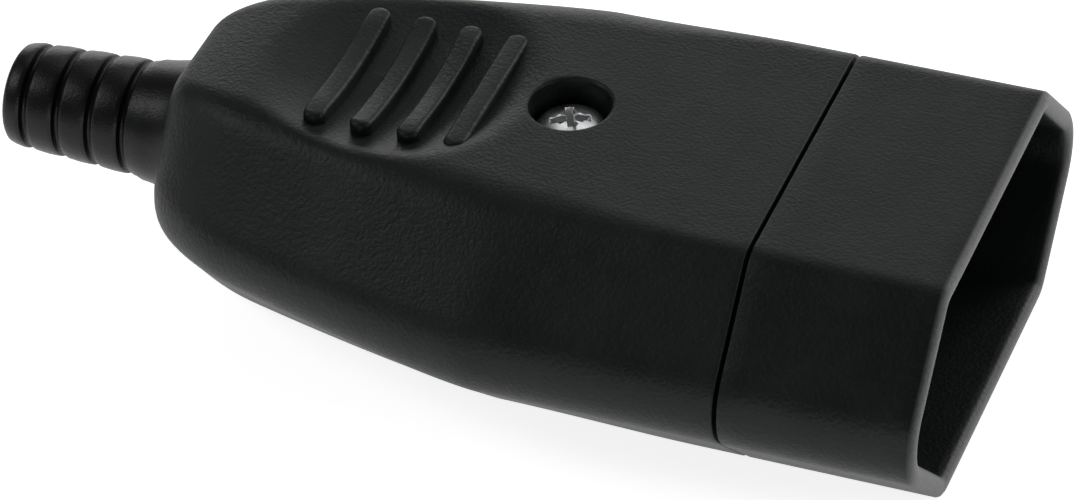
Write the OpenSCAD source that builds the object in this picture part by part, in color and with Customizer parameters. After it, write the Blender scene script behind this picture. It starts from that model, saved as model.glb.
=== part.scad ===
// Rewirable two-pole in-line socket with a flattened hexagonal collar.
// +X points out of the mouth, +Y across the width, +Z up. The part lies on
// its lower flat, and the origin is the centre of its footprint.

/* [Body section] */
// Width of the body over its two tips
body_w = 39.4; // [38.4:0.2:44]
// Thickness of the body over its two flats
body_t = 18.6; // [18:0.2:22]
// Width of each flat, to the sharp corners
flat_w = 24.4; // [23:0.2:26]
// Radius of the two side tips
tip_r = 4.3; // [3.6:0.1:5]
// Radius of the four long edges on the collar
edge_r = 2.4; // [2:0.1:3]
// How much narrower each flat gets on either side along the cover
flat_taper = 0.4; // [0:0.1:1.2]
// Extra radius that the long edges gain along the cover
edge_growth = 3; // [2:0.5:4.5]

/* [Collar] */
// Length of the collar, from the mouth to the seam
collar_l = 14.4; // [13.6:0.2:20]
// Wall of the collar
collar_wall = 1.5; // [1.2:0.1:1.8]
// Depth of the plug recess
recess_depth = 12; // [8:0.5:13]
// Width of the seam groove
seam_gap = 0.3; // [0.2:0.1:0.6]
// Length of the spigot that enters the cover
spigot_l = 3.6; // [2:0.2:4]
// Wall of the spigot
spigot_wall = 1.4; // [1:0.1:1.6]
// Rounding of the mouth's outer and inner edges
mouth_round = 0.4; // [0.2:0.1:0.6]
// Rounding of the two edges along the seam
seam_round = 0.3; // [0.1:0.1:0.4]

/* [Cover] */
// Length of the cover, from the seam to its rear face
cover_l = 47; // [46.5:0.5:56]
// Wall of the cover
cover_wall = 1.8; // [1.5:0.1:2]
// Length behind the seam over which the width stays full
straight_l = 18.5; // [16:0.5:22]
// Width of the rear face
rear_w = 16.4; // [15.6:0.2:20]
// Thickness of the rear face
rear_t = 13.4; // [13:0.2:15]
// Length of the rounded shoulder before the rear face
shoulder_l = 7.5; // [5:0.5:9]
// How far the shoulder draws each tip in
shoulder_w = 3.6; // [2:0.2:5]
// Thickness of the rear wall
rear_wall = 3; // [2.4:0.2:3.6]

/* [Grip] */
// Distance of the grip's centre behind the seam
grip_pos = 31; // [29:0.5:32]
// Radius of the round scoop at the surface
scoop_r = 10.6; // [9.5:0.2:11]
// Depth of the scoop
scoop_depth = 1.9; // [1.2:0.1:2]
// Number of ribs in the scoop
rib_count = 4; // [2:1:4]
// Distance from rib to rib
rib_pitch = 3.6; // [3.2:0.1:3.8]
// Distance of the middle of the ribs behind the seam
rib_pos = 29.4; // [29:0.2:30.4]
// Width of a rib
rib_w = 1.7; // [1.2:0.1:2]
// Length of a rib
rib_l = 14; // [10:0.5:14.5]
// Height of a rib above the scoop
rib_h = 1.1; // [0.6:0.1:1.2]

/* [Contacts] */
// Distance between the two contacts
contact_pitch = 19; // [18.6:0.1:19.4]
// Diameter of the plug pin that a contact takes
pin_d = 4; // [3.8:0.1:4.2]
// Wall of a contact sleeve
sleeve_wall = 0.5; // [0.4:0.05:0.6]
// Length of a contact sleeve
sleeve_l = 12; // [10:0.5:12.5]
// Width of the slots that split a sleeve
sleeve_slot = 0.6; // [0.4:0.1:0.8]
// Length of the spring clip round a sleeve
clip_l = 3; // [2:0.2:4]
// Thickness of the spring clip
clip_t = 0.35; // [0.2:0.05:0.4]
// Opening of the spring clip
clip_gap = 1.6; // [1:0.2:2.4]
// Distance of the spring clip behind the sleeve's front
clip_pos = 1.2; // [0.6:0.2:2]
// Thickness of the socket face
face_t = 2.4; // [2:0.2:3]
// Extra diameter of the pin holes in the face
pin_hole_extra = 0.6; // [0.4:0.1:1]
// Width of the lead-in round each pin hole
lead_in = 1; // [0.6:0.1:1.2]
// Length of a terminal block
block_l = 8; // [7:0.5:8.5]
// Width of a terminal block
block_w = 6; // [5.4:0.2:6.2]
// Height of a terminal block
block_h = 6.2; // [5.8:0.2:6.4]
// Side of the square wire hole in a block
wire_hole = 3.2; // [2.8:0.1:3.4]
// How far a sleeve enters its block
sleeve_seat = 1.6; // [1.2:0.1:2]
// Thickness of the plate under a terminal screw
plate_t = 0.5; // [0.4:0.1:0.7]
// How far a terminal screw reaches into the wire hole
screw_reach = 0.9; // [0.6:0.1:1]

/* [Screws] */
// Distance of the cover screw behind the seam
screw_pos = 17.6; // [17.4:0.1:18.2]
// Diameter of the counterbore over the cover screw
counterbore_d = 6; // [5.8:0.1:6.6]
// Depth of the counterbore
counterbore_depth = 4; // [3.4:0.1:4.2]
// Thickness of the seat under the screw head
screw_seat_t = 1.2; // [1:0.1:1.4]
// Head diameter of the cover screw
screw_head_d = 5.3; // [4.8:0.1:5.5]
// Head height of the cover screw
screw_head_h = 1.8; // [1.4:0.1:2.2]
// Thread diameter of the cover screw
screw_d = 3; // [2.5:0.1:3]
// Side of the square nut
nut_w = 5.5; // [5:0.1:5.6]
// Thickness of the square nut
nut_t = 1.8; // [1.6:0.1:2]
// Thread diameter of the terminal screws
terminal_screw_d = 2.6; // [2.2:0.1:2.8]
// Head diameter of the terminal screws
terminal_head_d = 4.5; // [4:0.1:4.8]
// Head height of the terminal screws
terminal_head_h = 1.6; // [1.2:0.1:1.8]
// Gap under the heads of the terminal screws
terminal_rise = 0.5; // [0.3:0.1:0.8]
// Thread diameter of the lid screw
lid_screw_d = 1.8; // [1.6:0.1:2]
// Head diameter of the lid screw
lid_head_d = 3.8; // [3.4:0.1:4]
// Head height of the lid screw
lid_head_h = 1.2; // [1:0.1:1.4]
// How far the lid and clamp screws reach into the tray
screw_grip = 4; // [3:0.2:4.2]

/* [Cord clamp] */
// Diameter of the cord that the socket is made for
cord_d = 5.6; // [5:0.1:5.8]
// Distance of the clamp behind the seam
clamp_pos = 30.6; // [30:0.2:31]
// Width of the clamp bar along the cord
clamp_w = 5; // [4:0.5:5.5]
// Thickness of the clamp bar
clamp_t = 1.5; // [1.2:0.1:1.6]
// Distance between the two clamp screws
clamp_pitch = 12; // [11.4:0.2:12.6]
// Thread diameter of the clamp screws
clamp_screw_d = 2.2; // [2:0.1:2.4]
// Head diameter of the clamp screws
clamp_head_d = 4; // [3.6:0.1:4.2]
// Height of the countersunk heads of the clamp screws
clamp_head_h = 1.1; // [0.9:0.1:1.2]

/* [Tray] */
// Thickness of the tray's floor
floor_t = 1.9; // [1.6:0.1:2]
// Thickness of the tray's outer walls
tray_wall = 1.2; // [1:0.1:1.4]
// Height of the outer walls above the contact axes
tray_wall_rise = 0.4; // [0:0.1:1]
// Thickness of the contact lid
lid_t = 1.5; // [1.2:0.1:1.8]
// Width of the lugs that lock the tray into the spigot
lug_w = 2.4; // [1.6:0.2:3]
// Length of the lugs along the body
lug_l = 1.4; // [1:0.1:1.6]

/* [Bend guard] */
// Length of the guard behind the cover
guard_l = 14.6; // [13:0.2:18]
// Diameter of the guard at the front of its ringed part
guard_d = 8.8; // [8.6:0.1:9.4]
// Diameter of the guard at its free end
guard_end_d = 7.8; // [7.8:0.1:8.6]
// Diameter of the flare where the guard leaves the cover
flare_d = 11.2; // [10.6:0.1:11.4]
// Length of the flare
flare_l = 3.6; // [2.6:0.2:4]
// Diameter of the guard's neck in the rear wall
neck_d = 9.8; // [9.4:0.1:10.2]
// Diameter of the flange inside the cover
flange_d = 11.8; // [11.2:0.1:12]
// Thickness of the flange inside the cover
flange_t = 1.4; // [1:0.1:1.6]
// Depth of the seat in the rear face that takes the flare
flare_seat = 0.8; // [0.5:0.1:1]
// Number of ring grooves
ring_count = 4; // [3:1:5]
// Width of a ring groove
ring_w = 0.6; // [0.4:0.1:0.8]
// Depth of a ring groove
ring_depth = 0.5; // [0.3:0.1:0.5]

/* [Clearances] */
// Clearance between pieces that fit into each other
fit = 0.1; // [0.05:0.05:0.15]
// Clearance on diameter between a screw and its thread
thread_fit = 0.05; // [0.02:0.01:0.1]
// Clearance between the carrier and the inside of the cover
carrier_fit = 0.25; // [0.2:0.05:0.4]
// Clearance of the cord in the bend guard
cord_fit = 0.1; // [0.05:0.05:0.15]

/* [Hidden] */
$fn = 48;
half_w = body_w / 2;
half_t = body_t / 2;
half_flat = flat_w / 2;
cover_end = collar_l + cover_l;
total_l = cover_end + guard_l;
face_back = recess_depth + face_t;
lap_end = spigot_l + 0.4;
contact_y = contact_pitch / 2;
pin_r = pin_d / 2;
sleeve_r = pin_r + sleeve_wall;
sleeve_front = face_back + fit;
block_front = sleeve_front + sleeve_l - sleeve_seat;
block_back = block_front + block_l;
terminal_x = (block_front + sleeve_seat * 2 + block_back) / 2;
channel_floor = -block_h / 2 - fit;
channel_in = contact_y - block_w / 2 - fit;
channel_out = contact_y + block_w / 2 + fit;
clamp_x = collar_l + clamp_pos;
clamp_back = clamp_x + clamp_w / 2 + 1;
screw_x = collar_l + screw_pos;
tray_back = max(block_back + tray_wall, screw_x + nut_w / 2 + fit);
seat_z = half_t - counterbore_depth;
boss_bottom = seat_z - screw_seat_t;
boss_r = counterbore_d / 2 + collar_wall;
post_top = boss_bottom - fit;
wall_top = block_h / 2 + fit;
nut_top = wall_top - tray_wall;
lid_bottom = wall_top + fit;
clamp_bottom = post_top - clamp_t - fit;
guard_bore_r = cord_d / 2 + cord_fit;
spigot_inset = cover_wall + fit + spigot_wall;
arc_n = 6;
eps = 0.01;

// ---- The hexagonal section and how it changes along the body ----
// A section is [half width, half thickness, half flat, tip radius, edge radius].

function clip01(t) = min(1, max(0, t));
function smooth(t) = let(u = clip01(t)) u * u * (3 - 2 * u);
function taper(s) = pow(clip01((s - straight_l) / (cover_l - straight_l)), 1.25);
function shoulder(s) =
    let(w = clip01((s - cover_l + shoulder_l) / shoulder_l)) 1 - sqrt(1 - w * w);

// Angle of the slanted side, tangent to the tip circle, from the flat's corner
function slant(q) =
    let(dx = q[0] - q[3] - q[2])
    atan2(q[1], dx) - asin(q[3] / norm([dx, q[1]]));

function body_at(s) =
    let(t = taper(s), e = shoulder(s), g = smooth((s - lap_end) / (straight_l - lap_end)))
    [half_w - (half_w - rear_w / 2 - shoulder_w) * t - shoulder_w * e,
     half_t - (half_t - rear_t / 2) * (0.25 * t * t + 0.75 * e),
     half_flat - flat_taper * g - (half_flat - flat_taper - rear_w / 4) * (0.75 * t + 0.25 * e),
     tip_r - 0.7 * t,
     edge_r + edge_growth * g - (edge_growth - 0.4) * t];

// The same section with every side moved in by w
function inset(q, w) =
    [q[0] - w, q[1] - w, q[2] - w * tan(slant(q) / 2),
     max(0.6, q[3] - w), max(0.6, q[4] - w)];

function quarter(q) =
    let(a = slant(q), k = q[4] * tan(a / 2))
    concat(
        [for (i = [0:arc_n])
            let(t = 90 - a * i / arc_n)
            [q[2] - k + q[4] * cos(t), q[1] - q[4] + q[4] * sin(t)]],
        [for (i = [0:arc_n])
            let(t = (90 - a) * (1 - i / arc_n))
            [q[0] - q[3] + q[3] * cos(t), q[3] * sin(t)]]);

function ring(q) =
    let(p = quarter(q), n = len(p))
    concat(
        p,
        [for (i = [n - 2:-1:0]) [p[i][0], -p[i][1]]],
        [for (i = [0:n - 1]) [-p[i][0], -p[i][1]]],
        [for (i = [n - 2:-1:0]) [-p[i][0], p[i][1]]]);

// ---- Helpers: distances are measured behind the mouth ----

module placed() {
    translate([total_l / 2, 0, half_t])
        children();
}

module slab(from, to) {
    translate([-to, 0, 0])
        rotate([90, 0, 90])
            linear_extrude(to - from)
                children();
}

module rod(from, to, r) {
    translate([-to, 0, 0])
        rotate([0, 90, 0])
            cylinder(h = to - from, r = r);
}

module turned() {
    rotate([0, -90, 0])
        rotate_extrude()
            children();
}

module upright(x, y, from, to, r) {
    translate([-x, y, from])
        cylinder(h = to - from, r = r);
}

module block(from, to, y0, y1, z0, z1) {
    translate([-to, y0, z0])
        cube([to - from, y1 - y0, z1 - z0]);
}

// A skin through a list of [distance, ring] stations, front to rear
module loft(stations) {
    n = len(stations[0][1]);
    m = len(stations);
    polyhedron(
        points = [for (s = stations) for (p = s[1]) [-s[0], p[0], p[1]]],
        faces = concat(
            [[for (j = [0:n - 1]) j]],
            [for (i = [0:m - 2]) for (j = [0:n - 1])
                let(k = (j + 1) % n)
                [i * n + j, (i + 1) * n + j, (i + 1) * n + k]],
            [for (i = [0:m - 2]) for (j = [0:n - 1])
                let(k = (j + 1) % n)
                [i * n + j, (i + 1) * n + k, i * n + k]],
            [[for (j = [n - 1:-1:0]) (m - 1) * n + j]]));
}

// Distances behind the seam at which the cover's skin is drawn
cover_steps = concat(
    [0],
    [for (i = [0:4]) lap_end + (straight_l - lap_end) * i / 4],
    [for (i = [1:8]) straight_l + (cover_l - shoulder_l - straight_l) * i / 8],
    [for (i = [1:8]) cover_l - shoulder_l + shoulder_l * sin(i * 90 / 8)]);

// How much further the cavity keeps below the skin where the scoops are
function scoop_drop(s) =
    scoop_depth * max(0, 1 - pow((s - grip_pos) / (scoop_r + 1.5), 2));

function cavity_at(s, w) =
    let(q = inset(body_at(s), w))
    [q[0], q[1] - scoop_drop(s), q[2] + scoop_drop(s) * 0.9, q[3], q[4]];

// The space inside the cover, w under its skin
module cavity(w, last) {
    loft(concat(
        [[collar_l - 1, ring(cavity_at(0, w))]],
        [for (s = cover_steps) if (s < last - 0.5) [collar_l + s + eps, ring(cavity_at(s, w))]],
        [[collar_l + last, ring(cavity_at(last, w))]]));
}

// ---- Collar and socket face, one moulding ----

// Stations of a quarter-round edge: the section at d is inset by r at the edge
function edge_steps(q, d, r, way) =
    [for (i = [0:3])
        let(a = i * 30)
        [d + way * r * (1 - cos(a)), ring(inset(q, r * (1 - sin(a))))]];

function reversed(v) = [for (i = [len(v) - 1:-1:0]) v[i]];

module collar_body(q) {
    loft(concat(
        edge_steps(q, 0, mouth_round, 1),
        reversed(edge_steps(q, collar_l - seam_gap / 2, seam_round, -1))));
}

module recess(q) {
    n = 3;
    loft(concat(
        [[-1, ring(inset(q, collar_wall - mouth_round))]],
        [for (i = [0:n])
            let(a = 90 * i / n)
            [mouth_round * sin(a) + eps, ring(inset(q, collar_wall - mouth_round * cos(a)))]],
        [[recess_depth, ring(inset(q, collar_wall))]]));
}

lug_front = face_back + tray_wall;

module socket_front() {
    q = body_at(0);
    color([0.09, 0.1, 0.1])
    placed()
    difference() {
        union() {
            collar_body(q);
            slab(collar_l - 2, collar_l + spigot_l)
                polygon(ring(inset(q, cover_wall + fit)));
        }
        recess(q);
        slab(face_back, collar_l + spigot_l + 1)
            polygon(ring(inset(q, spigot_inset)));
        // Windows that the tray's lugs snap into
        for (s = [-1, 1])
            block(lug_front - fit, lug_front + lug_l + fit,
                s * half_w - (s > 0 ? spigot_inset + 1 : 1 - cover_wall),
                s * half_w + (s > 0 ? 1 - cover_wall : spigot_inset + 1),
                -lug_w / 2 - fit, lug_w / 2 + fit);
        for (s = [-1, 1])
            translate([0, s * contact_y, 0]) {
                rod(recess_depth - 1, face_back + 1, pin_r + pin_hole_extra / 2);
                // Lead-in of the pin hole
                translate([-recess_depth - lead_in, 0, 0])
                    rotate([0, 90, 0])
                        cylinder(h = lead_in + eps, r1 = pin_r + pin_hole_extra / 2,
                            r2 = pin_r + pin_hole_extra / 2 + lead_in);
            }
    }
}

// ---- Tray that carries the contacts, the nut and the cord saddle ----

module tray_profile() {
    out = channel_out + tray_wall;
    polygon([
        [-out, tray_wall_rise], [-out, channel_floor],
        [-out + tray_wall / 2, channel_floor - floor_t],
        [out - tray_wall / 2, channel_floor - floor_t],
        [out, channel_floor], [out, tray_wall_rise],
        [channel_out, tray_wall_rise], [channel_out, channel_floor],
        [channel_in, channel_floor], [channel_in, wall_top],
        [-channel_in, wall_top], [-channel_in, channel_floor],
        [-channel_out, channel_floor], [-channel_out, tray_wall_rise]]);
}

module saddle_profile() {
    y = clamp_pitch / 2 + clamp_head_d / 2 + 1;
    polygon([
        [-y, channel_floor - floor_t / 3], [-y + floor_t * 2 / 3, channel_floor - floor_t],
        [y - floor_t * 2 / 3, channel_floor - floor_t], [y, channel_floor - floor_t / 3],
        [y, clamp_bottom - fit], [-y, clamp_bottom - fit]]);
}

module tray_form() {
    // Channels for the contacts, with a wall between them
    slab(face_back + fit, tray_back)
        tray_profile();
    // Post that the cover's boss stands on
    upright(screw_x, 0, channel_floor, post_top, boss_r);
    // Arm to the cord saddle
    block(tray_back - 1, clamp_back, -boss_r, boss_r, channel_floor - floor_t, channel_floor);
    slab(clamp_x - clamp_w / 2 - 1, clamp_back)
        saddle_profile();
}

module contact_tray() {
    q = body_at(0);
    color([0.15, 0.16, 0.16])
    placed()
    difference() {
        union() {
            intersection() {
                tray_form();
                union() {
                    slab(face_back, lap_end + collar_l + eps)
                        polygon(ring(inset(q, spigot_inset + fit)));
                    difference() {
                        cavity(cover_wall + carrier_fit, cover_l - rear_wall - 1);
                        slab(0, lap_end + collar_l)
                            square(body_w * 2, center = true);
                    }
                }
            }
            // Lugs that snap into the spigot's windows
            for (s = [-1, 1])
                block(lug_front, lug_front + lug_l,
                    s > 0 ? channel_out + fit : -half_w + cover_wall + 0.5,
                    s > 0 ? half_w - cover_wall - 0.5 : -channel_out - fit,
                    -lug_w / 2, min(lug_w / 2, tray_wall_rise));
        }
        // Hole and rear slot for the square nut
        upright(screw_x, 0, channel_floor, post_top + 1, screw_d / 2 + fit);
        block(screw_x - nut_w / 2 - fit, clamp_back + 1, -nut_w / 2 - fit, nut_w / 2 + fit,
            nut_top - nut_t - fit, nut_top + fit);
        // Pilot hole of the lid screw
        upright(lid_screw_x, 0, lid_bottom - screw_grip - 0.4, lid_bottom + 1,
            lid_screw_d / 2 + fit);
        // Cord groove and pilot holes of the clamp
        rod(clamp_x - clamp_w, clamp_back + 1, cord_d / 2 + fit);
        for (s = [-1, 1])
            upright(clamp_x, s * clamp_pitch / 2, clamp_bottom - screw_grip - 0.4,
                clamp_bottom + 1, clamp_screw_d / 2 + fit);
    }
}

// ---- Cover ----

module ribs() {
    big = (scoop_r * scoop_r + scoop_depth * scoop_depth) / (2 * scoop_depth);
    difference() {
        for (i = [0:rib_count - 1])
            translate([-collar_l - rib_pos + (i - (rib_count - 1) / 2) * rib_pitch, 0,
                half_t - scoop_depth - 0.6]) {
                for (s = [-1, 1])
                    translate([0, s * (rib_l - rib_w) / 2, 0])
                        cylinder(h = scoop_depth + 0.5, r = rib_w / 2);
                translate([-rib_w / 2, -(rib_l - rib_w) / 2, 0])
                    cube([rib_w, rib_l - rib_w, scoop_depth + 0.5]);
            }
        translate([-collar_l - grip_pos, 0, half_t + big - scoop_depth + rib_h])
            sphere(r = big, $fn = 160);
    }
}

module scoop() {
    big = (scoop_r * scoop_r + scoop_depth * scoop_depth) / (2 * scoop_depth);
    translate([-collar_l - grip_pos, 0, half_t + big - scoop_depth])
        sphere(r = big, $fn = 160);
}

module rear_cover() {
    color([0.1, 0.11, 0.11])
    placed()
    difference() {
        union() {
            difference() {
                loft(concat(
                    edge_steps(body_at(0), collar_l + seam_gap / 2, seam_round, 1),
                    [for (s = cover_steps) if (s > 0) [collar_l + s, ring(body_at(s))]]));
                cavity(cover_wall, cover_l - rear_wall);
                scoop();
                mirror([0, 0, 1])
                    scoop();
            }
            ribs();
            mirror([0, 0, 1])
                ribs();
            upright(screw_x, 0, boss_bottom, half_t - cover_wall / 2, boss_r);
        }
        upright(screw_x, 0, seat_z, half_t + 1, counterbore_d / 2);
        upright(screw_x, 0, boss_bottom - 1, seat_z + eps, screw_d / 2 + fit);
        // Hole for the guard's neck, with a seat for its flare
        rod(cover_end - rear_wall - 2, cover_end + 1, neck_d / 2 + fit);
        rod(cover_end - flare_seat, cover_end + 1, flare_d / 2 + fit);
    }
}

// ---- Bend guard ----

module bend_guard() {
    root = cover_end - flare_seat + fit;
    tube = cover_end + flare_l;
    inner = cover_end - rear_wall - fit;
    pitch = (total_l - tube - 0.2) / ring_count;
    color([0.05, 0.055, 0.055])
    placed()
    difference() {
        turned()
            polygon([
                [guard_bore_r, inner - flange_t], [flange_d / 2, inner - flange_t],
                [flange_d / 2, inner], [neck_d / 2, inner],
                [neck_d / 2, root], [flare_d / 2, root], [flare_d / 2, cover_end + 0.4],
                [guard_d / 2 + 0.5, cover_end + flare_l * 0.55],
                [guard_d / 2, tube], [guard_end_d / 2, total_l - 0.9],
                [guard_end_d / 2 - 0.3, total_l - 0.25], [guard_end_d / 2 - 0.8, total_l],
                [guard_bore_r, total_l]]);
        for (i = [0:ring_count - 1])
            turned()
                translate([0, tube + pitch * (i + 0.3)])
                    difference() {
                        square([guard_d, ring_w]);
                        translate([-1, -1])
                            square([guard_d / 2 + 1 - ring_depth
                                - (guard_d - guard_end_d) / 2 * (i + 0.3) / ring_count,
                                ring_w + 2]);
                    }
    }
}

// ---- Screws and nut ----

module cross_slot(d, depth) {
    for (a = [0, 90])
        rotate([0, 0, a])
            translate([-d / 2, -d * 0.11, -depth])
                cube([d, d * 0.22, depth + 1]);
}

module pan_screw(head_d, head_h, d, l) {
    difference() {
        union() {
            cylinder(h = head_h * 0.6, r = head_d / 2);
            translate([0, 0, head_h * 0.6 - eps])
                cylinder(h = head_h * 0.4, r1 = head_d / 2, r2 = head_d * 0.36);
            translate([0, 0, -l])
                cylinder(h = l + eps, r = d / 2);
        }
        translate([0, 0, head_h])
            rotate([0, 0, 25])
                cross_slot(head_d * 0.62, head_h * 0.6);
    }
}

module flat_screw(head_d, head_h, d, l) {
    difference() {
        union() {
            translate([0, 0, -head_h])
                cylinder(h = head_h, r1 = d / 2, r2 = head_d / 2);
            translate([0, 0, -l])
                cylinder(h = l - head_h + eps, r = d / 2);
        }
        cross_slot(head_d * 0.6, head_h * 0.6);
    }
}

module cover_screw() {
    color([0.78, 0.79, 0.8])
    placed()
        translate([-screw_x, 0, seat_z])
            pan_screw(screw_head_d, screw_head_h, screw_d - thread_fit,
                seat_z - nut_top + nut_t + screw_d / 2);
}

module cover_nut() {
    color([0.75, 0.66, 0.4])
    placed()
        difference() {
            block(screw_x - nut_w / 2, screw_x + nut_w / 2, -nut_w / 2, nut_w / 2,
                nut_top - nut_t, nut_top);
            upright(screw_x, 0, nut_top - nut_t - 1, nut_top + 1, screw_d / 2);
        }
}

// ---- Contacts ----

module sleeve(y) {
    color([0.8, 0.66, 0.36])
    placed()
        translate([0, y, 0])
            difference() {
                turned()
                    polygon([
                        [pin_r, sleeve_front], [sleeve_r, sleeve_front],
                        [sleeve_r, sleeve_front + sleeve_l], [pin_r, sleeve_front + sleeve_l]]);
                block(sleeve_front - 1, sleeve_front + sleeve_l * 0.6, -sleeve_slot / 2,
                    sleeve_slot / 2, -sleeve_r - 1, sleeve_r + 1);
            }
}

module clip_ring(y) {
    r = sleeve_r + fit / 2;
    color([0.7, 0.71, 0.72])
    placed()
        translate([0, y, 0])
            difference() {
                turned()
                    translate([r, sleeve_front + clip_pos])
                        square([clip_t, clip_l]);
                block(sleeve_front, sleeve_front + clip_pos + clip_l + 1, 0,
                    sleeve_r + clip_t + 1, -clip_gap / 2, clip_gap / 2);
            }
}

module terminal_block(y) {
    color([0.8, 0.66, 0.36])
    placed()
        translate([0, y, 0])
            difference() {
                block(block_front, block_back, -block_w / 2, block_w / 2,
                    -block_h / 2, block_h / 2);
                rod(block_front - 1, block_front + sleeve_seat + fit, sleeve_r + fit / 2);
                block(block_front + sleeve_seat * 2, block_back + 1, -wire_hole / 2, wire_hole / 2,
                    -wire_hole / 2, wire_hole / 2);
                upright(terminal_x, 0, 0, block_h, terminal_screw_d / 2 + fit / 2);
            }
}

module terminal_screw(y) {
    color([0.78, 0.79, 0.8])
    placed()
        translate([-terminal_x, y, block_h / 2 + terminal_rise])
            pan_screw(terminal_head_d, terminal_head_h, terminal_screw_d - thread_fit,
                block_h / 2 + terminal_rise - wire_hole / 2 + screw_reach);
}

module wire_plate(y) {
    top = wire_hole / 2 - screw_reach - fit;
    color([0.72, 0.73, 0.74])
    placed()
        translate([0, y, 0])
            block(terminal_x - wire_hole / 2, block_back - fit, -wire_hole / 2 + fit,
                wire_hole / 2 - fit, top - plate_t, top);
}

// ---- Lid over the sleeves ----

lid_front = collar_l + spigot_l + fit;
lid_back = screw_x - boss_r - 4 * fit;
lid_screw_x = (lid_front + lid_back) / 2;

module contact_lid() {
    color([0.16, 0.17, 0.17])
    placed()
        difference() {
            union() {
                block(lid_front, lid_back, -channel_out + tray_wall / 2,
                    channel_out - tray_wall / 2, lid_bottom, lid_bottom + lid_t);
                // Ribs that hold the sleeves down
                for (s = [-1, 1])
                    translate([0, s * contact_y, 0])
                        block(lid_front + tray_wall / 2, lid_front + tray_wall * 1.7, -sleeve_r / 2,
                            sleeve_r / 2, sleeve_r + fit + clip_t, lid_bottom + eps);
            }
            upright(lid_screw_x, 0, lid_bottom - 1, lid_bottom + lid_t + 1,
                lid_screw_d / 2 + 2 * fit);
            for (s = [-1, 1])
                upright(terminal_x, s * contact_y, lid_bottom - 1, lid_bottom + lid_t + 1,
                    terminal_head_d / 2 + fit * 4);
        }
}

module lid_screw() {
    color([0.78, 0.79, 0.8])
    placed()
        translate([-lid_screw_x, 0, lid_bottom + lid_t])
            pan_screw(lid_head_d, lid_head_h, lid_screw_d, lid_t + screw_grip);
}

// ---- Cord clamp ----

module clamp_bar() {
    y = clamp_pitch / 2 + clamp_head_d / 2 + fit * 4;
    color([0.16, 0.17, 0.17])
    placed()
        difference() {
            block(clamp_x - clamp_w / 2, clamp_x + clamp_w / 2, -y, y,
                clamp_bottom, clamp_bottom + clamp_t);
            rod(clamp_x - clamp_w, clamp_x + clamp_w, cord_d / 2 - 2 * fit);
            for (s = [-1, 1])
                translate([-clamp_x, s * clamp_pitch / 2, clamp_bottom]) {
                    translate([0, 0, -1])
                        cylinder(h = clamp_t + 2, r = clamp_screw_d / 2 + fit);
                    translate([0, 0, clamp_t - clamp_head_h])
                        cylinder(h = clamp_head_h + eps, r1 = clamp_screw_d / 2 + fit,
                            r2 = clamp_head_d / 2 + fit);
                }
        }
}

module clamp_screw(y) {
    color([0.78, 0.79, 0.8])
    placed()
        translate([-clamp_x, y, clamp_bottom + clamp_t])
            flat_screw(clamp_head_d, clamp_head_h, clamp_screw_d - thread_fit,
                clamp_t + screw_grip);
}

socket_front();
contact_tray();
rear_cover();
bend_guard();
cover_screw();
cover_nut();
contact_lid();
lid_screw();
sleeve(contact_y);  // sleeve_left
sleeve(-contact_y);  // sleeve_right
clip_ring(contact_y);  // clip_left
clip_ring(-contact_y);  // clip_right
terminal_block(contact_y);  // block_left
terminal_block(-contact_y);  // block_right
terminal_screw(contact_y);  // terminal_screw_left
terminal_screw(-contact_y);  // terminal_screw_right
wire_plate(contact_y);  // wire_plate_left
wire_plate(-contact_y);  // wire_plate_right
clamp_bar();
clamp_screw(clamp_pitch / 2);  // clamp_screw_left
clamp_screw(-clamp_pitch / 2);  // clamp_screw_right
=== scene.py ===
# %% [markdown]
# # A two-pole in-line socket in black plastic
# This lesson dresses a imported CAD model: a hexagonal collar, a tapering ribbed cover,
# a rubber bend guard and the screw that holds them together. The CAD solids stay where
# they are. We load them first, because every new piece takes its place from them.

# %% Load the frame
import bmesh
import bpy
import math
from mathutils import Matrix, Vector


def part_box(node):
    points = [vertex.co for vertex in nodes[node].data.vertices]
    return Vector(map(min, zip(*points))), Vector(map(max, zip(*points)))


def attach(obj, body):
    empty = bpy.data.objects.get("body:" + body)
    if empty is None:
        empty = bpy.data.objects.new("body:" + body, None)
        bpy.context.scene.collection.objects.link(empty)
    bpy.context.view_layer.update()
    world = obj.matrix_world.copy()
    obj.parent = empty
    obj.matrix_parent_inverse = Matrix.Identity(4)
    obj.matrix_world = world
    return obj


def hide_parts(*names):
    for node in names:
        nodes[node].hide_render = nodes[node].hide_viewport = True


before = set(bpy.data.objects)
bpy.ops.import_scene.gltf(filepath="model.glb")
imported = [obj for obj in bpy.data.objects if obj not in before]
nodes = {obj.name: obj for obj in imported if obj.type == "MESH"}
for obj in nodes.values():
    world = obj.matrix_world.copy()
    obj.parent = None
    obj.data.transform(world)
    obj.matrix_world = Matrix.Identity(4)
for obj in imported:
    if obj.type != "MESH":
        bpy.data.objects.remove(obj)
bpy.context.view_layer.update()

# %% [markdown]
# The mouldings are measured from the mouth of the socket backwards, as a toolmaker would.
# The CAD boxes give the sizes that matter: where the mouth and the seam are, how wide and
# thick the body is, and at what height its middle lies. So the main form follows the CAD
# if one of these changes. The smaller sizes are typed where they are used, in millimetres.

# %% Read the main sizes from the CAD
mm = 0.001
half_seam = 0.15 * mm
collar_low, collar_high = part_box("socket_front")
cover_low, cover_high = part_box("rear_cover")
guard_low, guard_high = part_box("bend_guard")
mouth = collar_high.x
middle = (collar_low.z + collar_high.z) / 2
half_width = collar_high.y
half_thickness = (collar_high.z - collar_low.z) / 2
collar_length = mouth - cover_high.x - half_seam
cover_length = mouth - collar_length - cover_low.x
print("collar %.1f mm, cover %.1f mm, body %.1f x %.1f mm" % (
    collar_length / mm, cover_length / mm, 2 * half_width / mm, 2 * half_thickness / mm))

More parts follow.
